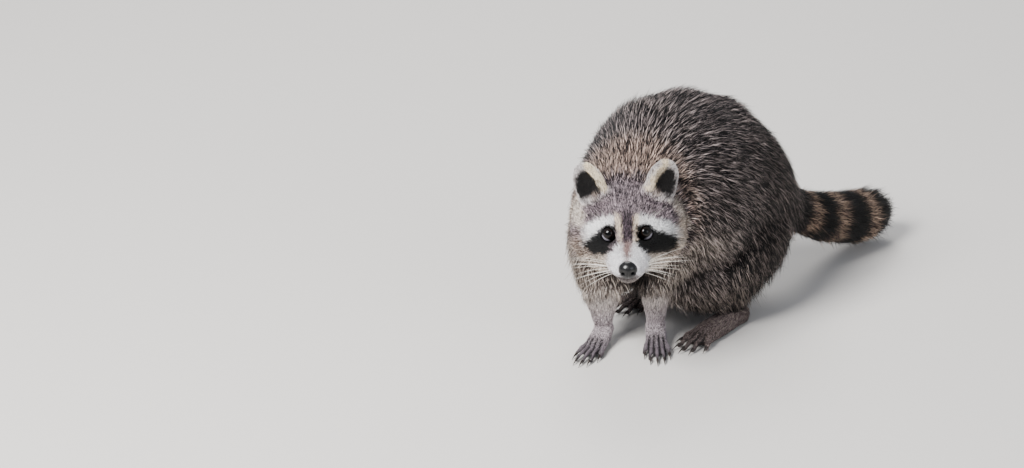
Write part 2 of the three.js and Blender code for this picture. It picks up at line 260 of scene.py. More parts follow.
def mesh_points(mesh):
    """A mesh's points, in millimetres from START."""
    flat = np.empty(len(mesh.vertices) * 3, np.float32)
    mesh.vertices.foreach_get("co", flat)
    return to_mm(flat.reshape(-1, 3).astype(float))


def set_points(mesh, points):
    """Moves a mesh's points to places in millimetres from START."""
    mesh.vertices.foreach_set("co", to_frame(points).astype(np.float32).ravel())
    mesh.update()


def mesh_normals(mesh):
    """A mesh's normals at its points."""
    flat = np.empty(len(mesh.vertices) * 3, np.float32)
    mesh.vertex_normals.foreach_get("vector", flat)
    return flat.reshape(-1, 3).astype(float)


def mesh_edges(mesh):
    """The pairs of points that a mesh's edges join."""
    flat = np.empty(len(mesh.edges) * 2, np.int32)
    mesh.edges.foreach_get("vertices", flat)
    return flat.reshape(-1, 2)


def relaxed(values, edges, share, times):
    """Each point's values, moved by a share towards its neighbours' mean, a few times."""
    ends_a, ends_b = edges.T
    total = len(values)
    count = np.bincount(ends_a, minlength=total) + np.bincount(ends_b, minlength=total)
    count = np.maximum(count, 1)[:, None]
    values = values.reshape(total, -1).astype(float)
    share = np.asarray(share, float).reshape(-1, 1)
    for _ in range(times):
        mean = np.empty_like(values)
        for column in range(values.shape[1]):
            mean[:, column] = np.bincount(ends_a, values[ends_b, column], total)
            mean[:, column] += np.bincount(ends_b, values[ends_a, column], total)
        values = values + share * (mean / count - values)
    return values


def modified(mesh, kind, groups=None, **settings):
    """A new mesh made from one with a modifier applied. groups gives a weight to each point."""
    held = add_object("at_work", mesh)
    if groups is not None:
        group = held.vertex_groups.new(name="share")
        for step in np.unique(groups):
            group.add(np.flatnonzero(groups == step).tolist(), float(step), "REPLACE")
        settings["vertex_group"] = group.name
    modifier = held.modifiers.new("step", kind)
    for name, value in settings.items():
        setattr(modifier, name, value)
    ready = held.evaluated_get(bpy.context.evaluated_depsgraph_get())
    made = bpy.data.meshes.new_from_object(ready)
    bpy.data.objects.remove(held)
    return made


# The solids are merged, and pushed out by a hair's breadth to close the cuts between them.
solids = bmesh.new()
part_layer = solids.faces.layers.int.new("part")
for number, name in enumerate(FLESH):
    count = len(solids.faces)
    solids.from_mesh(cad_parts[name].data)
    solids.faces.ensure_lookup_table()
    for face in solids.faces[count:]:
        face[part_layer] = number
bmesh.ops.remove_doubles(solids, verts=solids.verts, dist=1e-5)
solids.normal_update()
solids.faces.ensure_lookup_table()
face_parts = np.array([face[part_layer] for face in solids.faces])
solid_tree = BVHTree.FromBMesh(solids)
for vertex in solids.verts:
    vertex.co += vertex.normal * (HAIRS_BREADTH / 1000)


def nearest_parts(points):
    """The flesh part nearest to each point, given in millimetres."""
    return np.array([face_parts[solid_tree.find_nearest(place)[2]] for place in to_frame(points)])


cast = bpy.data.meshes.new("cast")
solids.to_mesh(cast)
cast = modified(cast, "REMESH", mode="VOXEL", voxel_size=VOXEL / 1000)
points = mesh_points(cast)
edges = mesh_edges(cast)
parts = nearest_parts(points)
softness = by_part({"trunk": 0.6, "neck": 0.6, "tail": 0.6, "thigh": 0.6, "upper": 0.5, "head": 0.32,
                    "lower": 0.2, "ear": 0.22, "forearm": 0.3, "shank": 0.3, "paw": 0.1})[parts]
softness = relaxed(softness, edges, 0.5, 8)
points = relaxed(points, edges, softness, 36)
set_points(cast, points)
plain = on_parts("trunk", "tail", "neck", "thigh", "upper").astype(float)
cast = modified(cast, "DECIMATE", plain, ratio=0.335, vertex_group_factor=10)

# The largest island is kept, without the loose crumbs inside it, and it is refined around the eyes.
EYES = [to_mm(middle(name)) for name in ("eye_left", "eye_right")]
eye_low, eye_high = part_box("eye_left")
EYE_RADIUS = float((eye_high - eye_low).y) * 1000 / 2
body = bmesh.new()
body.from_mesh(cast)
unseen = set(body.verts)
largest = set()
while unseen:
    island = {unseen.pop()}
    rim = list(island)
    while rim:
        vertex = rim.pop()
        for edge in vertex.link_edges:
            other = edge.other_vert(vertex)
            if other in unseen:
                unseen.discard(other)
                island.add(other)
                rim.append(other)
    if len(island) > len(largest):
        largest = island
bmesh.ops.delete(body, geom=[vertex for vertex in body.verts if vertex not in largest], context="VERTS")
for span in (15, 12.5):
    near = {vertex for vertex in body.verts
            if min(np.linalg.norm(to_mm(vertex.co) - eye) for eye in EYES) < span}
    ring = [edge for edge in body.edges if near.intersection(edge.verts)]
    bmesh.ops.subdivide_edges(body, edges=ring, cuts=1, use_grid_fill=True)
skin_mesh = bpy.data.meshes.new("skin")
body.to_mesh(skin_mesh)
points = mesh_points(skin_mesh)
edges = mesh_edges(skin_mesh)
parts = nearest_parts(points)

# Where the neck and the tail leave the trunk, the hide is drawn taut over the step, and then out a little
# to keep the outline. The wrists' steps are smoothed too.
DRAWN_OUT = 4.0
joints = 0
for inner, passes in ((("neck", "head"), 150), (("tail",), 80)):
    shared = relaxed(on_parts(*inner), edges, 0.6, passes)[:, 0]
    joints = joints + 4 * shared * (1 - shared) * ~on_parts("head", "ear", "lower")
taut = np.clip(joints * 1.7, 0, 1)
points = relaxed(points, edges, 0.7 * taut, 240)
set_points(skin_mesh, points)
points = points + mesh_normals(skin_mesh) * (DRAWN_OUT * taut)[:, None]
shared = relaxed(on_parts("paw_fore"), edges, 0.6, 24)[:, 0]
points = relaxed(points, edges, 2.0 * shared * (1 - shared), 16)
set_points(skin_mesh, points)

# The head's own space: the face looks along -Y, and the middle between the eyes is near its origin.
HEAD_AT = np.array([-30.5, -25.0, 171.0])
HEAD_ROLL = math.radians(-2.5)
HEAD_TURN = np.array([[math.cos(HEAD_ROLL), 0, -math.sin(HEAD_ROLL)], [0, 1, 0],
                      [math.sin(HEAD_ROLL), 0, math.cos(HEAD_ROLL)]])


def to_head(places):
    """Places in the head's own space."""
    return (places - HEAD_AT) @ HEAD_TURN.T


def from_head(places):
    """Places of the head's space, in millimetres from START."""
    return places @ HEAD_TURN + HEAD_AT


def soft(low, high, value):
    """0 before low and 1 past high, which may lie either way round, with a soft change between."""
    share = np.clip((value - low) / (high - low), 0, 1)
    return share * share * (3 - 2 * share)


def unit(vectors):
    """Vectors of length 1."""
    return vectors / np.maximum(np.linalg.norm(vectors, axis=-1, keepdims=True), 1e-9)


# How deep the skin lies under the coat's surface, in millimetres.
head_x, head_y, head_z = to_head(points).T
height = points[:, 2]
depth = by_part({"trunk": 13, "neck": 12, "tail": 18, "thigh": 12, "upper": 9, "forearm": 4,
                 "shank": 4.5, "paw": 0.4, "ear": 1.3})[parts]
on_head = on_parts("head", "lower")
on_ear = on_parts("ear")
on_paw = on_parts("paw")
face_depth = np.interp(head_y, [-50, -34, -8, 10, 40, 80], [0.6, 1.2, 2.4, 4.2, 7.5, 10.5])
face_depth += 4.0 * soft(30, 56, np.abs(head_x)) * soft(12, -18, head_z)
depth = np.where(on_head, face_depth, depth)
belly_depth = np.interp(height, [40, 60, 85], [5, 8, 13])
depth = np.where(on_parts("trunk", "upper"), np.minimum(depth, belly_depth), depth)
wrist = on_parts("forearm", "shank") | (on_paw & (height > 24))
depth = np.where(wrist, np.interp(height, [24, 46, 72], [0.8, 1.6, 4.5]), depth)
depth = relaxed(depth, edges, 0.5, 14)[:, 0]
normals = unit(relaxed(mesh_normals(skin_mesh), edges, 0.5, 3))
points = points - normals * depth[:, None]

# The ears' skin ends lower than their hair, and the muzzle's end is drawn up under the nose.
points[:, 2] -= on_ear * 4.0 * soft(42, 66, head_z)
muzzle_end = on_head * soft(-36, -50, head_y) * soft(-36, -24, head_z)
points += muzzle_end[:, None] * [0, -3.6, 2.8]
points[:, 0] += muzzle_end * 0.05 * head_x
points = relaxed(points, edges, np.where(depth > 6, 0.5, 0.0), 6)

# The lids close round each eyeball: the skin inside the opening goes behind the ball, and the rest over it.
GAZE = np.array([0.27, -0.86, 0.43])
LID_HALF_WIDTH = 7.0
LID_HALF_HEIGHT = 5.9
LID_THICKNESS = 0.9
CREASE_DEPTH = 0.7
eye_rings = []
under_eye = np.zeros(len(points))
for side, eye in zip((1, -1), EYES):
    gaze = unit(GAZE * [side, 1, 1]) @ HEAD_TURN
    outward = unit(np.cross([0, 0, side], -gaze))
    above = unit(np.cross(outward, gaze) * side)
    above = above * np.sign(above[2])
    from_eye = points - eye
    reach = np.linalg.norm(from_eye, axis=1)
    wide = from_eye @ outward
    tall = from_eye @ above + 0.10 * wide
    ahead = from_eye @ gaze
    narrow = np.where(wide < 0, 0.95, 1.0)
    ring = np.sqrt((wide / (LID_HALF_WIDTH * narrow)) ** 2 + (tall / LID_HALF_HEIGHT) ** 2)
    close = (reach < 22) & (ahead > 0)
    lid = EYE_RADIUS + LID_THICKNESS
    target = np.where(ring < 1, np.minimum(reach, EYE_RADIUS - 0.9), np.maximum(reach, lid))
    drawn_in = lid + (target - lid) * soft(1.0, 1.75, ring)
    target = np.where((ring >= 1) & (target > lid), drawn_in, target)
    crease = CREASE_DEPTH * np.exp(-((ring - 1.55) / 0.14) ** 2) * soft(-0.2, 0.5, tall / 9)
    target = target - np.where(ring > 1, crease, 0)
    points = np.where(close[:, None], eye + from_eye / reach[:, None] * target[:, None], points)
    eye_rings.append(np.where(close, ring, 9.0))
    under_eye = np.maximum(under_eye, close * soft(-1.5, -3.5, tall))
eye_ring = np.minimum(*eye_rings)

# The closed mouth is a fine groove with dark lips, from under the nose to the corners below the eyes.
MOUTH_Y = [-62, -40, -22, -11]
MOUTH_Z = [-36.5, -37.5, -39, -42.5]
MOUTH_DEPTH = 1.1
mouth_z = np.interp(head_y, MOUTH_Y, MOUTH_Z)
lips = np.exp(-((head_z - mouth_z) / MOUTH_DEPTH) ** 2) * soft(-9, -15, head_y) * on_head
under_nose = (on_head * np.exp(-(head_x / 0.8) ** 2) * soft(-46, -50, head_y)
              * soft(-28, -31, head_z) * soft(-39, -37, head_z))
lips = np.maximum(lips, under_nose)
points = points - normals * (MOUTH_DEPTH * lips)[:, None]

# Each paw's place, its turn in degrees, its digits' x, y and length from the thumb's side outwards, how
# many degrees they fan out for each millimetre of x, and the radius of their tips.
FORE_DIGITS = [(-10.8, -13, 23), (-5.6, -20, 31), (0, -21, 34), (5.6, -20, 32), (10.8, -14, 25)]
HIND_DIGITS = [(-13, -24, 17), (-7, -34, 22), (0, -37, 24), (7, -35, 23), (13.5, -25, 20)]
FORE_PAW = (FORE_DIGITS, 0.6, 2.9)
HIND_PAW = (HIND_DIGITS, 1.2, 4.1)
PAWS = {"fore_left": ((1, 50), 2, *FORE_PAW), "fore_right": ((-61, 42), -22, *FORE_PAW),
        "hind_left": ((70, 72), -38, *HIND_PAW), "hind_right": ((-2, 172), -42, *HIND_PAW)}


def in_paw(paw_at, yaw):
    """How far the skin's points lie to the right of a paw's middle line, and in front of its middle."""
    turned = math.radians(yaw)
    from_x, from_y = (points[:, :2] - paw_at).T
    right = from_x * math.cos(turned) + from_y * math.sin(turned)
    return right, from_x * math.sin(turned) - from_y * math.cos(turned)


# Furrows part the digits as far back as their knuckles.
FURROW_DEPTH = 2.8
FURROW_WIDTH = 1.1
furrows = np.zeros(len(points))
for name, (paw_at, yaw, digits, fan, _) in PAWS.items():
    right, before = in_paw(paw_at, yaw)
    side = 1 if name.endswith("left") else -1
    knuckles = -digits[2][1]
    spread = 1 + math.radians(fan) * (before - knuckles)
    middles = [(one[0] + other[0]) / 2 for one, other in zip(digits, digits[1:])]
    gap = np.min([np.abs(right * side - middle * spread) for middle in middles], axis=0)
    here = on_parts("paw_" + name) & (np.abs(right) < 14)
    furrows += here * np.exp(-(gap / FURROW_WIDTH) ** 2) * soft(knuckles - 12, knuckles - 3, before)
sunk = points[:, 2] - FURROW_DEPTH * furrows * soft(0, 0.5, normals[:, 2])
points[:, 2] = np.maximum(sunk, np.minimum(points[:, 2], 1.0))

set_points(skin_mesh, points)
skin_mesh.shade_smooth()
skin_mesh.update()
skin = add_object("skin", skin_mesh)
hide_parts(*FLESH)
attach(skin, "root")
normals = unit(mesh_normals(skin_mesh))
skin_tree = BVHTree.FromPolygons([tuple(place) for place in to_frame(points)],
                                 [tuple(face.vertices) for face in skin_mesh.polygons])


# ---- Coat: how it lies ----------------------------------------------------------------------------------
# Fur runs back from the nose over the head, along the back, down the flanks and legs, and out along the
# tail. A hair stands up from its root and bends over at the coat's depth, and is shortest on face and paws.

# The line that the hair follows, from between the eyes to the tail's tip, which starts at point TAIL_START.
SPINE = np.array([[-30, 0, 160], [-30, 36, 158], [-24, 60, 161], [-12, 92, 156], [14, 119, 161],
                  [45, 147, 157], [79, 174, 142], [110, 197, 122], [128, 200, 106], [161, 229, 85],
                  [190, 261, 64], [217, 293, 49], [241, 323, 39], [259, 346, 36], [276, 368, 34]], float)
TAIL_START = 8


def along_line(line, places):
    """How far along a line the nearest point of it lies to each place, and the line's direction there."""
    steps = np.diff(line, axis=0)
    lengths = np.linalg.norm(steps, axis=1)
    run = np.concatenate([[0], np.cumsum(lengths)])
    best = np.full(len(places), np.inf)
    far = np.zeros(len(places))
    heading = np.zeros((len(places), 3))
    for start, step, length, before in zip(line, steps, lengths, run):
        share = np.clip((places - start) @ step / length ** 2, 0, 1)
        gap = np.linalg.norm(places - start - share[:, None] * step, axis=1)
        nearer = gap < best
        best[nearer] = gap[nearer]
        far[nearer] = (before + share * length)[nearer]
        heading[nearer] = step / length
    return far, heading


on_tail = on_parts("tail")
head_points = to_head(points)
head_x, head_y, head_z = head_points.T
height = points[:, 2]
off_middle = np.abs(head_x)

# How far up the face each point is. The face leans back, so this counts what lies behind as higher.
up_face = head_z * math.cos(ELEVATION) + head_y * math.sin(ELEVATION)


def about(axis, degrees):
    """A turn about one axis."""
    return np.array(Matrix.Rotation(math.radians(degrees), 3, axis))


# Each ear's own space: its mouth faces -Y, its tip is up, and +X is its outer edge.
EAR_AT = np.array([41.0, 38.0, 42.0])
EAR_TURNS = {side: about("Z", side * 22) @ about("X", -12) @ about("Y", side * 24) for side in (1, -1)}
FAR_OFF = 99.0


def in_ear(head_places):
    """The head's places in the space of the ear on their side, and all others far off."""
    found = np.full((len(points), 3), FAR_OFF)
    for side, ear_turn in EAR_TURNS.items():
        mine = (on_ear | on_head) & (head_x * side > 0)
        found[mine] = (head_places[mine] - EAR_AT * [side, 1, 1]) @ ear_turn * [side, 1, 1]
    return found


ear_x, ear_y, ear_z = in_ear(head_points).T

NOSE_TIP = np.array([-30.5, -82.0, 146.0])
spine_heading = along_line(SPINE, points)[1]
down = np.array([0.0, 0.0, -1.0])
sideways = 1 - np.clip(normals[:, 2], 0, 1)


def part_directions():
    """The way that the hair runs at each point, by part, before it is blended."""
    lie = spine_heading + down * (1.25 * sideways[:, None])
    ahead = unit(points - NOSE_TIP)
    cheek_fall = 0.35 * soft(20, -20, head_z) * soft(20, 50, off_middle)
    lie[on_head] = ahead[on_head] + down * cheek_fall[on_head, None]
    ruff = unit(ahead + spine_heading * 0.4 + down * sideways[:, None])
    lie[on_parts("neck")] = ruff[on_parts("neck")]
    lie[on_parts("upper", "forearm", "shank")] = down
    lie[on_parts("thigh")] = unit(np.array([0.1, 0.15, -1.0]))
    lie[on_tail] = spine_heading[on_tail] + down * 0.12
    for side, ear_turn in EAR_TURNS.items():
        lie[on_ear & (head_x * side > 0)] = ear_turn[:, 2] @ HEAD_TURN
    for name, (_, yaw, *_) in PAWS.items():
        turned = math.radians(yaw)
        lie[on_parts("paw_" + name)] = (math.sin(turned), -math.cos(turned), -0.5)
    return unit(lie)


def laid_flat(directions):
    """Directions turned into the plane of the skin."""
    return unit(directions - normals * (directions * normals).sum(1)[:, None])


lie = laid_flat(part_directions())
lie_share = np.where(on_ear, 0.1, np.where(on_head, 0.4, 0.6))
for _ in range(3):
    lie = laid_flat(relaxed(lie, edges, lie_share, 18))

# Length and width in millimetres, hairs to a square millimetre, and how unruly each place is.
length = by_part({"trunk": 31, "neck": 27, "tail": 33, "thigh": 30, "upper": 31, "forearm": 11, "shank": 12,
                  "paw": 4.5, "ear": 4.2})[parts]
face_length = np.interp(head_y, [-50, -36, -20, 0, 16, 40, 80], [2.4, 3.4, 5.0, 7.5, 10, 15, 22])
face_length += 15 * soft(34, 62, off_middle) * soft(6, -24, up_face) * soft(-12, 14, head_y)
face_length += 2 * soft(-38, -50, head_z) * soft(-20, 10, head_y)
length = np.where(on_head, face_length, length)
length = np.where(wrist, np.interp(height, [22, 46, 62, 95], [5, 6.5, 12, 34]), length)
length += on_parts("paw_hind") * ~wrist * 2.5
length += on_parts("trunk", "neck", "upper", "thigh") * 8 * soft(0.1, -0.6, normals[:, 2])
length = relaxed(length, edges, 0.5, 14)[:, 0]
inner_edge = on_ear * soft(2, -5, ear_x) * soft(0, -4, ear_y)
ear_length = (4.0 + 5.0 * soft(-14, -22, ear_z) + 3.0 * inner_edge * soft(14, 6, ear_z)
              - 1.2 * soft(4, 16, ear_z))
length = np.where(on_ear, ear_length, length)
length = length * (1 - (0.55 + 0.3 * under_eye) * soft(2.6, 1.5, eye_ring))
length = length * (1 - 0.55 * on_head * soft(-46, -58, head_z))
width = np.interp(length, [2.5, 5, 10, 18, 28, 36], [0.44, 0.5, 0.55, 0.57, 0.62, 0.70])
crowd = by_part({"trunk": 0.66, "neck": 0.88, "tail": 1.0, "thigh": 0.64, "upper": 0.8, "forearm": 1.5,
                 "shank": 1.0, "paw": 1.6, "ear": 2.4, "head": 1.8, "lower": 1.6})[parts]
crowd = relaxed(crowd, edges, 0.5, 8)[:, 0]
face_crowd = np.interp(length, [3, 6, 10, 16, 26], [2.0, 1.6, 1.15, 0.75, 0.5])
crowd = np.where(on_head, crowd * face_crowd, crowd)

# No hair grows on the lids, the nose's seat, the soles or the fingers' ends, and little on the lips.
NOSE_SEAT = [0, -53, -25.5]
SEAT_RADII = [10.3, 9.2, 9.4]
SOLE_HEIGHT = 2.5
nose_seat = np.linalg.norm((head_points - NOSE_SEAT) / SEAT_RADII, axis=1)
crowd = crowd * soft(1.12, 1.3, eye_ring - 0.14 * under_eye) * soft(1.0, 1.12, nose_seat)
crowd = crowd * (1 - 0.9 * soft(0.3, 0.7, lips))
crowd = crowd * (height >= SOLE_HEIGHT) * (1 - 0.95 * np.clip(furrows, 0, 1))
for name, (paw_at, yaw, digits, *_) in PAWS.items():
    before = in_paw(paw_at, yaw)[1]
    bare_from = -digits[2][1] + 9
    here = on_parts("paw_" + name)
    crowd = np.where(here, crowd * soft(bare_from + 10, bare_from - 8, before), crowd)
    length = np.where(here, length * (1 - 0.5 * soft(2, 20, before)), length)
stand = np.clip(2 * depth / np.maximum(length, 1), 0.12, 1.05)
stand = stand * (1 - 0.45 * soft(-0.2, -0.9, normals[:, 2]))
unruly = np.interp(length, [4, 10, 25], [0.10, 0.16, 0.24])


# ---- Markings -------------------------------------------------------------------------------------------
# The black mask, white brows and muzzle, grizzled back and ringed tail. Each place has the tone of a hair's
# root, the tone of its pale band, and the share of hairs that stay dark. Skin and coat both take them.

# A marking shows where the hair's outer half lies, so it is looked up over half a hair down its lie.
shown = points + lie * (length * 0.6)[:, None]
tail_far = along_line(SPINE[TAIL_START:], shown)[0]
spine_far = along_line(SPINE[:TAIL_START], shown)[0]
shown_head = to_head(shown)

# Places on the face, in millimetres across it from its middle and up it from the line of the eyes. They
# stray by a millimetre or so, since no marking on fur has a clean edge.
FACE_MIDDLE = -31.8
EYE_LINE = 139.8
stray = relaxed(np.random.default_rng(5).normal(0, 1, (len(points), 2)), edges, 0.5, 1) * 2.0
across = shown[:, 0] - FACE_MIDDLE + stray[:, 0]
from_middle = np.abs(across)
up_face = shown[:, 2] * math.cos(ELEVATION) + shown[:, 1] * math.sin(ELEVATION) - EYE_LINE + stray[:, 1]
on_left = across > 0


def tones_by_part(table):
    """Three tones for each point from a table of colours by part."""
    return np.stack([by_part({name: paint(*tone)[axis] for name, tone in table.items()})[parts]
                     for axis in range(3)], 1)


root_tone = tones_by_part({
    "trunk": (9, 7, 8), "neck": (24, 19, 18), "tail": (2, 2, 2), "thigh": (9, 8, 8),
    "upper": (28, 23, 21), "forearm": (130, 120, 116), "shank": (50, 42, 40), "paw": (84, 76, 82),
    "ear": (120, 112, 112), "head": (43, 36, 40), "lower": (120, 112, 108)})
band_tone = tones_by_part({
    "trunk": (194, 178, 174), "neck": (204, 184, 170), "tail": (7, 6, 6), "thigh": (172, 157, 148),
    "upper": (206, 191, 177), "forearm": (240, 230, 224), "shank": (158, 144, 136), "paw": (176, 166, 170),
    "ear": (222, 216, 214), "head": (177, 160, 166), "lower": (206, 198, 190)})
dark_share = by_part({
    "trunk": 0.61, "neck": 0.44, "tail": 0.6, "thigh": 0.62, "upper": 0.34, "forearm": 0.08, "shank": 0.4,
    "head": 0.42, "lower": 0.1, "ear": 0.1, "paw": 0.25})[parts]
blend_share = np.where(on_ear, 0.0, 0.6)
blend_share = np.where(on_head | on_tail, 0.3, blend_share)
root_tone = relaxed(root_tone, edges, blend_share, 40)
band_tone = relaxed(band_tone, edges, blend_share, 40)
dark_share = relaxed(dark_share, edges, blend_share, 40)[:, 0]


def lay_tone(share, root, band, dark):
    """Lays a marking over the tones, by its share at each point."""
    share = np.clip(share, 0, 1)
    root_tone[:] += (np.array(paint(*root)) - root_tone) * share[:, None]
    band_tone[:] += (np.array(paint(*band)) - band_tone) * share[:, None]
    dark_share[:] += (dark - dark_share) * share


def between(low, high, place, blur=1.6):
    """1 between two edges, which may bend, and 0 outside them, with a soft change at each."""
    return soft(low - blur, low + blur, place) * soft(high + blur, high - blur, place)


# Tail: dark and light rings round it, which fade along its top, and a dark tip.
LIGHT_RINGS = ((68, 6.5), (118, 9), (183, 9.5))
shown_x, shown_y, shown_z = shown.T
rings = sum(soft(size + 5, size - 3, np.abs(tail_far - place)) for place, size in LIGHT_RINGS)
tail_top = np.interp(tail_far, [0, 40, 100, 150, 200], [112, 88, 62, 50, 44])
faded = 1 - 0.75 * soft(20, 34, shown_z - tail_top)
lay_tone(on_tail * rings * faded, (60, 46, 40), (196, 168, 146), 0.2)

# Back: a warm tan arc over the nape and shoulders, a darker saddle behind it, and a dark rump.
on_trunk = on_parts("trunk", "neck", "thigh", "upper")
arc = soft(34, 44, spine_far) * soft(78, 62, spine_far) * soft(110, 150, shown_z)
lay_tone(on_trunk * arc * 0.7, (38, 28, 26), (220, 190, 172), 0.32)
saddle = soft(76, 92, spine_far) * soft(128, 104, spine_far)
lay_tone(on_trunk * saddle * 0.6, (7, 6, 7), (156, 142, 144), 0.66)
lay_tone(on_trunk * soft(190, 240, spine_far) * 0.85, (5, 4, 5), (126, 113, 109), 0.62)

# Below: a browner skirt, a pale chest whose darker middle is deepened with painted shade under the head,
# and painted shade on the left flank, which faces away from the key lamp.
lay_tone(on_trunk * soft(70, 40, shown_z) * 0.5, (10, 8, 8), (188, 172, 158), 0.5)
chest = soft(80, 50, shown_y) * soft(150, 110, shown_z)
lay_tone(on_trunk * chest * 0.75, (84, 74, 68), (232, 218, 206), 0.2)
# A darker throat, deepened with painted shade where it lies under the head.
throat_painted_shade = soft(24, 8, np.abs(shown_x + 20)) * soft(100, 70, shown_y) * soft(120, 96, shown_z)
lay_tone(on_trunk * throat_painted_shade * 0.9, (12, 9, 8), (80, 66, 58), 0.7)
# Painted shade: the left flank, which faces away from the key lamp, is darkened.
flank_painted_shade = soft(0.2, 0.7, normals[:, 0]) * soft(90, 120, spine_far)
lay_tone(on_trunk * flank_painted_shade * 0.35, (6, 5, 5), (120, 108, 104), 0.75)

# Forelegs pale to a mauve grey down the wrists, the fingers are darker, and painted shade blackens the
# furrows between the digits.
on_fore = on_parts("forearm", "paw_fore")
lay_tone(on_fore * soft(60, 26, shown_z), (104, 95, 98), (206, 194, 198), 0.14)
lay_tone(on_fore * on_paw * soft(18, 8, shown_z), (92, 83, 90), (166, 156, 162), 0.25)
lay_tone(on_fore * on_paw * soft(8, 4, height), (50, 44, 48), (120, 110, 116), 0.35)
lay_tone(on_paw * ~on_fore, (58, 49, 48), (146, 131, 127), 0.38)
# Painted shade: the furrows between the digits are darkened to near black.
lay_tone(on_paw * np.clip(furrows * 1.8, 0, 1), (3, 2, 3), (12, 9, 11), 0.6)

# Head: buff cheeks below a grizzled forehead, palest under the muzzle's sides.
front = on_head * soft(62, 44, shown_head[:, 1])
lay_tone(front * soft(10, -10, up_face) * soft(30, 44, from_middle), (84, 70, 62), (206, 187, 174), 0.3)
lay_tone(front * soft(-12, -26, up_face) * soft(14, 26, from_middle), (120, 106, 95), (236, 222, 207), 0.15)

# A pale line runs from below each ear to the edge of the cheek, and the left temple is pale.
line_at = np.where(on_left, 47 + (46 - up_face) * 0.55, 53 - (42 - up_face) * 0.13)
ruffed = on_parts("head", "lower", "neck") * soft(100, 80, shown_head[:, 1])
ear_line = soft(8, 3.5, np.abs(from_middle - line_at)) * soft(4, 14, up_face) * soft(50, 42, up_face)
lay_tone(ruffed * ear_line * 0.85, (150, 136, 124), (246, 236, 222), 0.06)
left_temple = on_left * soft(52, 58, from_middle) * between(-14, 18, up_face, 5)
lay_tone(front * left_temple * 0.8, (140, 122, 106), (242, 226, 206), 0.08)

# White brows and muzzle, and painted shade greying the chin under the mouth. The mask's edges are here too,
# since the brows end at its top. The two sides of the face differ.
BROW_ACROSS = [-64, -50, -40, -27, -17, -12, 12, 16, 28, 43, 53, 64]
BROW_TOP = [-4, 5, 12, 17.5, 19, 19, 19, 19.5, 18, 14, 10, 3]
MASK_ACROSS = [-46, -41, -34.5, -27, -19.5, -12, 10, 13, 18, 23, 28, 35.5, 43, 50.5, 55, 58]
MASK_TOP = [-9, -5.3, -1, 6, 10, 8.4, 4.7, 8.4, 10, 9.7, 7.2, 3.4, 1.7, 1.4, -3, -8]
FOOT_ACROSS = [-46, -41, -34.5, -27, -20, -16.5, -12, 10, 13, 18, 23, 28, 35.5, 43, 50.5, 55, 58]
MASK_FOOT = [-10, -15, -21, -22.5, -24, -17, -9, -9.6, -15.3, -19, -22, -21.5, -19.8, -17, -14, -9.6, -8.5]
MUZZLE_UP = [-50, -45, -39, -31, -25, -19, -16, -11, -8]
MUZZLE_SIDE = [10, 14.5, 20, 22.5, 21.5, 17, 14.5, 10, 6]
brow_top = np.interp(across, BROW_ACROSS, BROW_TOP)
mask_top = np.interp(across, MASK_ACROSS, MASK_TOP)
mask_foot = np.interp(across, FOOT_ACROSS, MASK_FOOT)
mask_sides = between(10.5, np.where(on_left, 56, 44.5), from_middle, 1.4)
muzzle_edge = np.interp(up_face, MUZZLE_UP, MUZZLE_SIDE) + np.where(on_left, 3.8, -2.2)
brow = (between(mask_top - 2, brow_top, up_face, 1.8) * soft(11, 15, from_middle)
        * soft(50, 38, from_middle - 11.0 * on_left))
lay_tone(front * brow, (250, 247, 250), (255, 255, 255), 0.0)
muzzle = (soft(muzzle_edge + 1.6, muzzle_edge - 1.6, from_middle) * soft(-7, -10, up_face)
          * soft(-50, -46, up_face))
lay_tone(front * muzzle, (216, 211, 217), (255, 254, 255), 0.0)
# Painted shade: the white chin is greyed where it lies in shade under the mouth.
chin_painted_shade = soft(-44, -48, up_face) * soft(15, 11, from_middle)
lay_tone(front * chin_painted_shade * 0.8, (70, 62, 62), (150, 140, 138), 0.3)

# The tan line on each side of the middle, the black mask, the dark stripe and the brown bridge of the nose.
from_stripe = np.abs(across - 1.2)
stripe_inner = 6.3 + 0.6 * soft(0, 18, up_face)
stripe_outer = np.interp(up_face, [-14, -4, 6, 14, 20], [9.0, 9.8, 10.8, 12.8, 13.8])
tan_line = (between(stripe_inner, stripe_outer, from_stripe, 1.0) * soft(-14, -8, up_face)
            * soft(24, 16, up_face))
lay_tone(front * tan_line, (178, 158, 138), (246, 230, 208), 0.06)
mask = mask_sides * between(mask_foot, mask_top, up_face, 1.3)
lay_tone(front * mask, (1, 1, 2), (5, 5, 6), 0.3)
stripe = (soft(stripe_inner + 1.0, stripe_inner - 1.0, from_stripe) * soft(-14, -9, up_face)
          * soft(34, 14, up_face))
lay_tone(front * stripe, (20, 15, 19), (108, 92, 102), 0.6)
bridge = soft(8.5, 3.0, from_stripe + 3.0 * soft(-18, -27, up_face)) * soft(-35, -27, up_face)
lay_tone(front * bridge * soft(-8, -13, up_face) * 0.95, (88, 64, 60), (160, 130, 124), 0.3)

# Ears: a pale rim, dark hair inside, and a cream band along the inner edge.
cup_x, cup_y, cup_z = in_ear(shown_head).T
cup_x = cup_x + stray[:, 0] * 0.7
cup_z = cup_z + stray[:, 1] * 0.7
cup_outer = np.interp(cup_z, [-24, -14, 0, 10, 18], [7, 12, 14.5, 11, 3]) + 1.5
cup_inner = np.interp(cup_z, [-24, -14, 0, 10, 18], [-15, -13.5, -10.5, -5.0, -2]) + 4.0 * on_left
in_cup = between(cup_inner, cup_outer, cup_x, 1.3) * soft(16, 10, cup_z - 2.0) * soft(6, 4, cup_y)
in_cup = in_cup * soft(-19, -13, cup_z)
lay_tone(on_ear * in_cup, (6, 5, 5), (18, 15, 15), 0.5)
cream_edge = soft(6, 3, cup_y) * between(cup_inner - 8, cup_inner, cup_x, 1.3) * soft(-20, -15, cup_z)
lay_tone(on_ear * cream_edge, (160, 140, 112), (244, 228, 200), 0.05)
lay_tone(on_ear * soft(-12, -18, cup_z) * soft(4, -4, cup_x), (60, 48, 44), (176, 156, 144), 0.35)
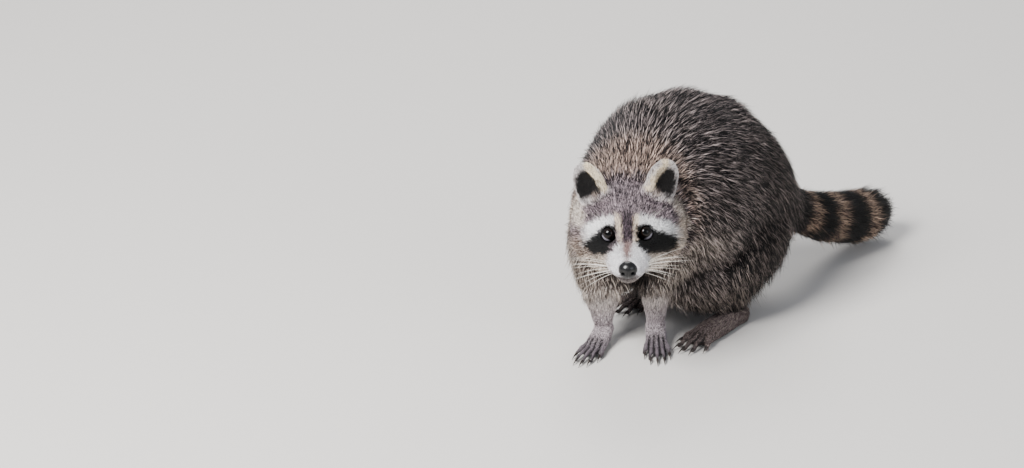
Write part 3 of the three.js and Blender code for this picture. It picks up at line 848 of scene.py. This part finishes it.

# Bare skin shows on the fingers, the lips and the lids, with a pale line of painted reflection along each
# lower lid's wet edge.
lid_share = soft(1.5, 1.25, eye_ring)
lay_tone(lips * 0.9, (26, 20, 22), (40, 32, 34), 0.5)
lay_tone(lid_share, (8, 7, 8), (10, 9, 10), 0.5)
# Painted reflection: a pale line along the wet edge of each lower lid.
lid_reflection_line = soft(0.16, 0.10, np.abs(eye_ring - 1.14)) * under_eye
lay_tone(lid_reflection_line * 0.9, (176, 168, 170), (176, 168, 170), 0.5)


def add_numbers(mesh, name, values, kind="FLOAT"):
    """Gives a mesh a number, or a colour, at each of its points."""
    layer = mesh.attributes.new(name, kind, "POINT")
    if kind == "FLOAT_COLOR":
        values = np.concatenate([values, np.ones((len(values), 1))], 1)
        layer.data.foreach_set("color", values.astype(np.float32).ravel())
    else:
        layer.data.foreach_set("value", np.asarray(values, np.float32).ravel())


under_coat = root_tone * 0.75 + band_tone * 0.25 * (1 - dark_share[:, None])
bare = np.maximum(lid_share, on_paw * 0.8)[:, None]
add_numbers(skin_mesh, "tone", under_coat * (1 - bare) + root_tone * bare, "FLOAT_COLOR")
add_numbers(skin_mesh, "wet", np.maximum(soft(1.22, 1.0, eye_ring), lips * 0.5))
skin_finish, skin_shader, wire = new_finish("skin", Specular_IOR_Level=0.4, Coat_Roughness=0.2)
grain = wire.noise(900, 4, 0.6)
creases = wire.node("ShaderNodeTexVoronoi", {"feature": "DISTANCE_TO_EDGE"}, Scale=480.0,
                    Vector=wire.place()).between(0.0, 0.12)
wet = wire.own("wet")
shade = (grain.between(0.35, 0.65) * 0.3).mix(wire.own_tone("tone"), paint(20, 16, 17))
bump = wire.node("ShaderNodeBump", Strength=0.35, Distance=0.0006, Height=grain * 0.6 + creases * 0.5)
feed(skin_shader, Base_Color=shade, Roughness=0.72 - wet * 0.5, Coat_Weight=wet * 0.5, Normal=bump)
skin_mesh.materials.clear()
skin_mesh.materials.append(skin_finish)


# ---- Eyes -----------------------------------------------------------------------------------------------
# Two glass-bright dark balls set behind the lids. Each is a turned sphere with a slight bulge in front, and
# has a black pupil in a deep brown ring, with a pale painted reflection along its lower, outer edge.

eye_finish, eye_shader, wire = new_finish("eye", Roughness=0.1, Specular_IOR_Level=0.1, Coat_Weight=0.25,
                                          Coat_Roughness=0.02)
from_front = wire.own("from_front")
streaks = wire.noise(2600, 3, 0.7)
iris = from_front.between(0.62, 0.45).mix(paint(7, 5, 4), paint(27, 17, 12))
iris = (streaks.between(0.35, 0.7) * 0.5).mix(iris, paint(12, 8, 6))
eye_tone = from_front.between(0.44, 0.40).mix(iris, paint(2, 2, 2))
eye_tone = from_front.between(0.60, 0.66).mix(eye_tone, paint(7, 5, 5))
# Painted reflection: a pale bluish grey crescent along the ball's lower, outer edge.
painted_eye_reflection = wire.own("below") * from_front.between(0.78, 0.86) * 0.85
feed(eye_shader, Base_Color=painted_eye_reflection.mix(eye_tone, paint(140, 136, 146)))

# The balls turn outwards less than the openings of the lids do. from_front is a point's angle from the gaze,
# and below is 1 along the lower, outer edge, where a pale reflection is painted on the ball.
GAZE_SPREAD = 0.55
LOW_EDGE = np.array([0.55, 0, -0.85])
EYE_BULGE = 0.0005
for side, name, eye in zip((1, -1), ("eye_left", "eye_right"), EYES):
    gaze = unit(GAZE * [side * GAZE_SPREAD, 1, 1]) @ HEAD_TURN
    low_edge = unit(LOW_EDGE * [side, 1, 1]) @ HEAD_TURN
    ball = bmesh.new()
    place = Matrix.Translation(to_frame(eye)) @ Vector(gaze).to_track_quat("Z", "Y").to_matrix().to_4x4()
    bmesh.ops.create_uvsphere(ball, u_segments=48, v_segments=32, radius=EYE_RADIUS / 1000, matrix=place)
    angles = []
    below = []
    for vertex in ball.verts:
        out = (vertex.co - Vector(to_frame(eye))).normalized()
        angle = out.angle(Vector(gaze))
        angles.append(angle)
        below.append(soft(0.45, 0.7, np.dot(np.array(out), low_edge) / math.sin(angle + 1e-6)))
        vertex.co += out * EYE_BULGE * float(soft(0.75, 0.3, angle))
    ball_mesh = bpy.data.meshes.new("ball_" + name)
    ball.to_mesh(ball_mesh)
    add_numbers(ball_mesh, "from_front", angles)
    add_numbers(ball_mesh, "below", below)
    ball_mesh.shade_smooth()
    ball_mesh.materials.append(eye_finish)
    eyeball = add_object("ball_" + name, ball_mesh)
    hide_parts(name)
    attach(eyeball, "root")


# ---- Nose -----------------------------------------------------------------------------------------------
# A black pad of bare, pebbled leather with two comma nostrils and a furrow down the middle. It is cast over
# its solid, as the skin is, smoothed, and drawn in at the back where the muzzle's hair meets it.

nose_solid = bmesh.new()
nose_solid.from_mesh(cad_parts["nose"].data)
bmesh.ops.remove_doubles(nose_solid, verts=nose_solid.verts, dist=1e-5)
nose_mesh = bpy.data.meshes.new("nose_cast")
nose_solid.to_mesh(nose_mesh)
nose_mesh = modified(nose_mesh, "REMESH", mode="VOXEL", voxel_size=0.0004)
cast_places = to_head(relaxed(mesh_points(nose_mesh), mesh_edges(nose_mesh), 0.5, 90))
tuck = 1 - 0.28 * soft(-52, -45, cast_places[:, 1])
nose_x, nose_y, nose_z = ([0, -52, -26.2] + (cast_places - [0, -52, -25.5]) * [1.08, 1.08, 1.28]).T
nose_x = nose_x * tuck
nose_z = -26.0 + (nose_z + 26.0) * tuck
furrow = 0.7 * np.exp(-(nose_x / 0.55) ** 2) * soft(-24, -27, nose_z) * soft(-54, -58, nose_y)
for side in (1, -1):
    slit = np.hypot((nose_x - side * 7.4) / 3.0, nose_z + 28.2 + 0.3 * (side * nose_x - 7))
    furrow = furrow + 1.3 * soft(1.3, 0.6, slit) * soft(-48, -54, nose_y)
    hole = np.hypot((nose_x - side * 5.2) / 2.2, (nose_z + 27.4) / 1.6)
    furrow = furrow + 2.0 * soft(1.2, 0.5, hole) * soft(-50, -55, nose_y)
set_points(nose_mesh, from_head(np.stack([nose_x, nose_y + furrow, nose_z], 1)))
nose_mesh.shade_smooth()
nose_mesh.update()
nose_finish, nose_shader, wire = new_finish("nose_leather", Coat_Weight=0.4, Coat_Roughness=0.12,
                                           Specular_IOR_Level=0.25)
pebbles = wire.node("ShaderNodeTexVoronoi", {"feature": "SMOOTH_F1"}, Scale=1500.0, Vector=wire.place())
nose_tone = wire.noise(300).between(0.35, 0.65).mix(paint(2, 2, 3), paint(9, 8, 10))
nose_bump = wire.node("ShaderNodeBump", Strength=0.4, Distance=0.0003, Height=pebbles)
feed(nose_shader, Base_Color=nose_tone, Roughness=pebbles * 0.2 + 0.28, Normal=nose_bump)
nose_mesh.materials.clear()
nose_mesh.materials.append(nose_finish)
nose = add_object("nose_pad", nose_mesh)
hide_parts("nose")
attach(nose, "root")


# ---- Claws ----------------------------------------------------------------------------------------------
# Twenty dark horn claws, one to each digit, curved down to the floor. Each is a cone drawn out and bent, set
# a little way into the digit's end.

# In millimetres: a claw's length, its root's and its point's radius, and how far its root rises above the
# digit's middle and its point drops from there. CLAW_FLAT narrows it.
CLAW_LENGTH = 10.5
CLAW_RADIUS = 1.75
CLAW_POINT = 0.25
CLAW_FLAT = 0.8
CLAW_RISE = 1.2
CLAW_DROP = 3.6
IN_FRAME = Matrix.Translation(START) @ Matrix.Scale(0.001, 4)

claws = bmesh.new()
for name, (paw_at, yaw, digits, fan, radius) in PAWS.items():
    side = 1 if name.endswith("left") else -1
    paw_place = Matrix.Translation((*paw_at, 0)) @ Matrix.Rotation(math.radians(yaw), 4, "Z")
    for x, y, reach in digits:
        swing = math.radians(fan * x)
        tip = Vector((side * (x + math.sin(swing) * reach), y - math.cos(swing) * reach, radius))
        made = bmesh.ops.create_cone(claws, segments=8, radius1=CLAW_RADIUS, radius2=CLAW_POINT,
                                     depth=CLAW_LENGTH, cap_ends=True)["verts"]
        sides = list({edge for vertex in made for edge in vertex.link_edges
                      if abs(edge.verts[0].co.z - edge.verts[1].co.z) > CLAW_LENGTH / 2})
        bmesh.ops.subdivide_edges(claws, edges=sides, cuts=4)
        made = [vertex for vertex in claws.verts if not vertex.tag]
        for vertex in made:
            vertex.tag = True
            far = vertex.co.z + CLAW_LENGTH / 2
            bent_down = CLAW_RISE - CLAW_DROP * (far / CLAW_LENGTH) ** 2
            vertex.co = Vector((vertex.co.x * CLAW_FLAT, -far, vertex.co.y + bent_down))
        place = paw_place @ Matrix.Translation(tip) @ Matrix.Rotation(side * swing, 4, "Z")
        bmesh.ops.transform(claws, matrix=place, verts=made)
bmesh.ops.transform(claws, matrix=IN_FRAME, verts=claws.verts)
bmesh.ops.recalc_face_normals(claws, faces=claws.faces)
claw_mesh = bpy.data.meshes.new("claws")
claws.to_mesh(claw_mesh)
claw_mesh.shade_smooth()
claw_finish, claw_shader, wire = new_finish("claw_horn", Roughness=0.32, Specular_IOR_Level=0.55)
ridges = wire.noise(1400, 3, 0.6)
claw_tone = ridges.between(0.3, 0.7).mix(paint(24, 20, 20), paint(58, 50, 46))
claw_bump = wire.node("ShaderNodeBump", Strength=0.2, Distance=0.0002, Height=ridges)
feed(claw_shader, Base_Color=claw_tone, Normal=claw_bump)
claw_mesh.materials.append(claw_finish)
claw_set = add_object("claws", claw_mesh)
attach(claw_set, "root")


# ---- Coat: locks of hair --------------------------------------------------------------------------------
# The hair is laid in pieces, each rooted in its own stretch of skin. A tuft is a thin, closed spindle of six
# faces, widest where it bends over, and neighbours lean together into locks and share their tones.

skin_mesh.calc_loop_triangles()
triangles = np.empty(len(skin_mesh.loop_triangles) * 3, np.int32)
skin_mesh.loop_triangles.foreach_get("vertices", triangles)
triangles = triangles.reshape(-1, 3)
corner_a, corner_b, corner_c = points[triangles].transpose(1, 0, 2)
areas = np.linalg.norm(np.cross(corner_b - corner_a, corner_c - corner_a), axis=1) / 2
centres = (corner_a + corner_b + corner_c) / 3
triangle_parts = parts[triangles[:, 0]]
expected = areas * crowd[triangles].mean(1)


def unwrapped(chosen):
    """The corners of some of the skin's triangles, as u and v, unwrapped by themselves to fill a square."""
    used, flat = np.unique(triangles[chosen], return_inverse=True)
    patch = bpy.data.meshes.new("patch")
    patch.from_pydata(to_frame(points[used]).tolist(), [], flat.reshape(-1, 3).tolist())
    held = add_object("patch", patch)
    patch.uv_layers.new(name="spread")
    bpy.context.view_layer.objects.active = held
    held.select_set(True)
    bpy.ops.object.mode_set(mode="EDIT")
    bpy.ops.mesh.select_all(action="SELECT")
    bpy.ops.uv.smart_project(angle_limit=math.radians(66), island_margin=0.004)
    bpy.ops.object.mode_set(mode="OBJECT")
    spread = np.empty(len(patch.loops) * 2, np.float32)
    patch.uv_layers["spread"].uv.foreach_get("vector", spread)
    bpy.data.objects.remove(held)
    return spread.reshape(-1, 3, 2).astype(float)


hair_finish, hair_shader, wire = new_finish("hair", Roughness=0.62, Specular_IOR_Level=0.28)
along = wire.own("along")
pick = wire.own("pick")
banded = wire.own("banded")
pale = (along - pick * 0.38 - banded * 0.1).between(0.1, 0.34)
tipped = (along + banded * 0.05 - pick * 0.16).between(0.74, 0.9) * (banded * 0.2 + 0.7)
hair_tone = pale.mix(wire.own_tone("root_tone"), wire.own_tone("band_tone"))
hair_tone = (tipped * (banded + pick).between(0.2, 0.7)).mix(hair_tone, wire.own_tone("root_tone"))
patchy = wire.noise(70, 3, 0.6).between(0.3, 0.7)
feed(hair_shader, Base_Color=(patchy * 0.22).mix(hair_tone, paint(16, 13, 12)))

# A tuft's points: its root, the left, the right and the ridge of its bend, and its tip. On the map it is a
# small lozenge at its root's place. BEND is how far along it bends, LOCK how many follow a leader, ROOT_DEPTH
# and FLOOR_GAP are millimetres, and TONE_SHARED is the share of tufts that take a leader's tone.
TUFT_FACES = np.array([[0, 3, 1], [0, 2, 3], [0, 1, 2], [1, 3, 4], [3, 2, 4], [2, 1, 4]])
TUFT_SMOOTH = np.array([True, True, False, True, True, False])
TUFT_ON_MAP = np.array([[0, -1], [-1, 0], [1, 0], [0, 0], [0, 1]]) * 0.0015
MAP_MARGIN = 0.003
BEND = 0.48
TUFT_ALONG = np.array([0, BEND, BEND, BEND, 1])
LOCK = 9
ROOT_DEPTH = 0.5
FLOOR_GAP = 0.7
TONE_SHARED = 0.6


def tuft_mesh(name, tufts):
    """A mesh of tufts from the five points of each."""
    total = len(tufts)
    mesh = bpy.data.meshes.new(name)
    mesh.vertices.add(total * 5)
    mesh.vertices.foreach_set("co", to_frame(tufts.reshape(-1, 3)).astype(np.float32).ravel())
    faces = (np.arange(total)[:, None, None] * 5 + TUFT_FACES).reshape(-1, 3)
    mesh.loops.add(faces.size)
    mesh.loops.foreach_set("vertex_index", faces.astype(np.int32).ravel())
    mesh.polygons.add(len(faces))
    mesh.polygons.foreach_set("loop_start", np.arange(0, faces.size, 3, dtype=np.int32))
    mesh.polygons.foreach_set("use_smooth", np.tile(TUFT_SMOOTH, total))
    return mesh, faces


def lay_coat(name, chosen, seed):
    """Lays tufts on some of the skin's triangles, as one piece."""
    draw = np.random.default_rng(seed)
    chosen = np.flatnonzero(chosen)
    total = int(expected[chosen].sum())
    share = np.cumsum(expected[chosen])
    picked = np.searchsorted(share / share[-1], draw.random(total))
    mix_b, mix_c = draw.random((2, total))
    over = mix_b + mix_c > 1
    mix_b = np.where(over, 1 - mix_b, mix_b)
    mix_c = np.where(over, 1 - mix_c, mix_c)
    weights = np.stack([1 - mix_b - mix_c, mix_b, mix_c], 1)
    corners = triangles[chosen][picked]

    def at_root(values):
        """The skin's values at each tuft's root."""
        return np.einsum("nk,nk...->n...", weights, values[corners])

    root = at_root(points)
    up = unit(at_root(normals))
    run = at_root(lie)
    run = unit(run - up * (run * up).sum(1)[:, None])
    swing = draw.normal(0, 1, total) * at_root(unruly)
    side = np.cross(up, run)
    run = run * np.cos(swing)[:, None] + side * np.sin(swing)[:, None]
    side = np.cross(up, run)
    long = at_root(length) * (draw.uniform(0.7, 1.12, total) + 0.28 * (draw.random(total) < 0.07))
    wide = at_root(width) * draw.uniform(0.75, 1.25, total)
    rise = at_root(stand) * draw.uniform(0.62, 1.12, total)

    def bent(angle, far):
        """A step of each tuft, at its own angle to the skin."""
        return (run * np.cos(angle)[:, None] + up * np.sin(angle)[:, None]) * far[:, None]

    middle_at = root + bent(rise * 0.78, long * BEND)
    tip_at = middle_at + bent(rise * 0.2, long * (1 - BEND))

    # Tufts lean towards the nearest of a few leaders, and stay clear of the floor.
    leaders = draw.choice(total, max(total // LOCK, 1), replace=False)
    tree = KDTree(len(leaders))
    for number, leader in enumerate(leaders):
        tree.insert(root[leader], number)
    tree.balance()
    nearest = np.array([[near[1] for near in tree.find_n(place, 4)] for place in root])
    leader = leaders[nearest[:, 0]]
    lean = (draw.uniform(0.15, 0.7, total) * soft(6, 20, long))[:, None]
    tip_at += (tip_at[leader] - tip_at) * lean * 0.8
    middle_at += (middle_at[leader] - middle_at) * lean * 0.35
    middle_at[:, 2] = np.maximum(middle_at[:, 2], FLOOR_GAP + 0.6)
    tip_at[:, 2] = np.maximum(tip_at[:, 2], FLOOR_GAP)

    half = side * wide[:, None] / 2
    ridge = up * wide[:, None] * 0.36
    root_at = root - up * ROOT_DEPTH
    tufts = np.stack([root_at, middle_at + half, middle_at - half, middle_at + ridge, tip_at], 1)
    mesh, faces = tuft_mesh(name, tufts)
    on_map = np.einsum("nk,nkc->nc", weights, unwrapped(chosen)[picked]) * (1 - 2 * MAP_MARGIN) + MAP_MARGIN
    on_map = (on_map[:, None, :] + TUFT_ON_MAP).reshape(-1, 2)
    bake = mesh.uv_layers.new(name="OFBake")
    bake.uv.foreach_set("vector", on_map[faces.ravel()].astype(np.float32).ravel())

    # Most tufts take the tones of one of the four leaders about them, and each has a tint of its own.
    tint = np.exp(draw.normal(0, 1, total) * np.interp(long, [8, 20], [0.13, 0.26]))[:, None]
    stays_dark = draw.random(total) < at_root(dark_share)
    neighbour = leaders[nearest[np.arange(total), draw.integers(0, 4, total)]]
    taken = np.where(draw.random(total) < TONE_SHARED, neighbour, np.arange(total))
    roots = at_root(root_tone)[taken] * tint
    bands = at_root(band_tone)[taken] * tint
    bands = np.where(stays_dark[:, None], roots * 1.25, bands)
    add_numbers(mesh, "root_tone", np.repeat(roots, 5, 0), "FLOAT_COLOR")
    add_numbers(mesh, "band_tone", np.repeat(bands, 5, 0), "FLOAT_COLOR")
    add_numbers(mesh, "along", np.tile(TUFT_ALONG, total))
    add_numbers(mesh, "pick", np.repeat(draw.random(total), 5))
    add_numbers(mesh, "banded", np.repeat(soft(9, 20, long), 5))
    mesh.update(calc_edges=True)
    mesh.materials.append(hair_finish)
    coat = add_object(name, mesh)
    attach(coat, "root")


def stretch(*starts):
    """Which of the skin's triangles are on the flesh parts whose names start so."""
    return np.isin(triangle_parts, of_kind(*starts))


# The face ends at FACE_END on the head, and the trunk's coat is parted at two places along the spine.
FACE_END = 14
SHOULDERS_END = 125
BACK_END = 190
centre_x, centre_y, _ = to_head(centres).T
is_head = stretch("head", "lower")
is_face = is_head & (centre_y < FACE_END)
is_trunk = stretch("trunk")
far = along_line(SPINE, centres)[0]
lay_coat("coat_face_left", is_face & (centre_x > 0), 11)
lay_coat("coat_face_right", is_face & (centre_x <= 0), 12)
lay_coat("coat_crown", is_head & ~is_face, 13)
lay_coat("coat_ears", stretch("ear"), 14)
lay_coat("coat_neck", stretch("neck"), 15)
lay_coat("coat_shoulders", is_trunk & (far < SHOULDERS_END), 16)
lay_coat("coat_back", is_trunk & (far >= SHOULDERS_END) & (far < BACK_END), 17)
lay_coat("coat_rump", is_trunk & (far >= BACK_END), 18)
lay_coat("coat_thighs", stretch("thigh"), 19)
lay_coat("coat_tail", stretch("tail"), 20)
lay_coat("coat_forelegs", stretch("upper", "forearm", "paw_fore"), 21)
lay_coat("coat_hind_legs", stretch("shank", "paw_hind"), 22)


# ---- Whiskers -------------------------------------------------------------------------------------------
# Stiff pale whiskers in three rows on each side of the muzzle, and a few over the eyes. Each is a thin,
# tapered, three-sided spine that droops a little towards its tip.

WHISKER_SIDES = 3
WHISKER_STEPS = 7
WHISKER_END = 0.08
draw = np.random.default_rng(31)
whiskers = bmesh.new()


def add_whisker(root, heading, far, droop, thick):
    """Adds one whisker, drawn out from a small triangle ring by ring."""
    heading = Vector(heading).normalized()
    place = Vector(root)
    seat = Matrix.Translation(place) @ heading.to_track_quat("Z", "Y").to_matrix().to_4x4()
    ring = bmesh.ops.create_circle(whiskers, cap_ends=True, segments=WHISKER_SIDES, radius=thick,
                                   matrix=seat)["verts"]
    rim = list({edge for vertex in ring for edge in vertex.link_edges})
    for step in range(1, WHISKER_STEPS + 1):
        before = place.copy()
        heading = (heading + Vector((0, 0, -droop / WHISKER_STEPS))).normalized()
        place = place + heading * far / WHISKER_STEPS
        grown = bmesh.ops.extrude_edge_only(whiskers, edges=rim)["geom"]
        ring = [item for item in grown if isinstance(item, bmesh.types.BMVert)]
        rim = [item for item in grown if isinstance(item, bmesh.types.BMEdge) and
               item.verts[0] in ring and item.verts[1] in ring]
        left = 1 + WHISKER_END - step / WHISKER_STEPS
        shrink = left / (left + 1 / WHISKER_STEPS)
        for vertex in ring:
            vertex.co = place + (vertex.co - before) * shrink
    bmesh.ops.contextual_create(whiskers, geom=rim)


# Each row's first place along the muzzle, its height and its count. A root is found by going in towards
# the muzzle from its side, or towards the brow from in front.
WHISKER_ROWS = ((-38, -27, 4), (-40, -31, 4), (-38, -35, 3))
WHISKER_GAP = 4.6
BROW_WHISKERS = 3
for side in (1, -1):
    for row, (first_y, row_z, count) in enumerate(WHISKER_ROWS):
        for number in range(count):
            beside = from_head(np.array([side * 30.0, first_y + number * WHISKER_GAP,
                                         row_z + draw.normal(0, 0.6)]))
            hit = skin_tree.ray_cast(to_frame(beside), [-side, 0, 0] @ HEAD_TURN, 0.06)[0]
            if hit is None:
                continue
            out = [side, 0.10 + 0.16 * number, 0.16 - 0.24 * row + draw.normal(0, 0.05)]
            far = draw.uniform(40, 62) - 5 * row
            add_whisker(to_mm(hit), out @ HEAD_TURN, far, draw.uniform(0.1, 0.45), 0.27)
    for number in range(BROW_WHISKERS):
        before = from_head(np.array([side * (20.0 + 4 * number), -40.0, 13.0]))
        hit = skin_tree.ray_cast(to_frame(before), Vector((0, 1, 0)), 0.08)[0]
        if hit is not None:
            out = [side * (0.4 + 0.3 * number), -0.5, 0.9]
            add_whisker(to_mm(hit), out @ HEAD_TURN, draw.uniform(20, 28), -0.2, 0.18)
bmesh.ops.transform(whiskers, matrix=IN_FRAME, verts=whiskers.verts)
bmesh.ops.recalc_face_normals(whiskers, faces=whiskers.faces)
whisker_mesh = bpy.data.meshes.new("whiskers")
whiskers.to_mesh(whisker_mesh)
whisker_mesh.shade_smooth()
whisker_finish, whisker_shader, wire = new_finish("whisker", Roughness=0.35)
feed(whisker_shader, Base_Color=wire.noise(200).mix(paint(232, 226, 214), paint(250, 246, 238)))
whisker_mesh.materials.append(whisker_finish)
whisker_set = add_object("whiskers", whisker_mesh)
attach(whisker_set, "root")
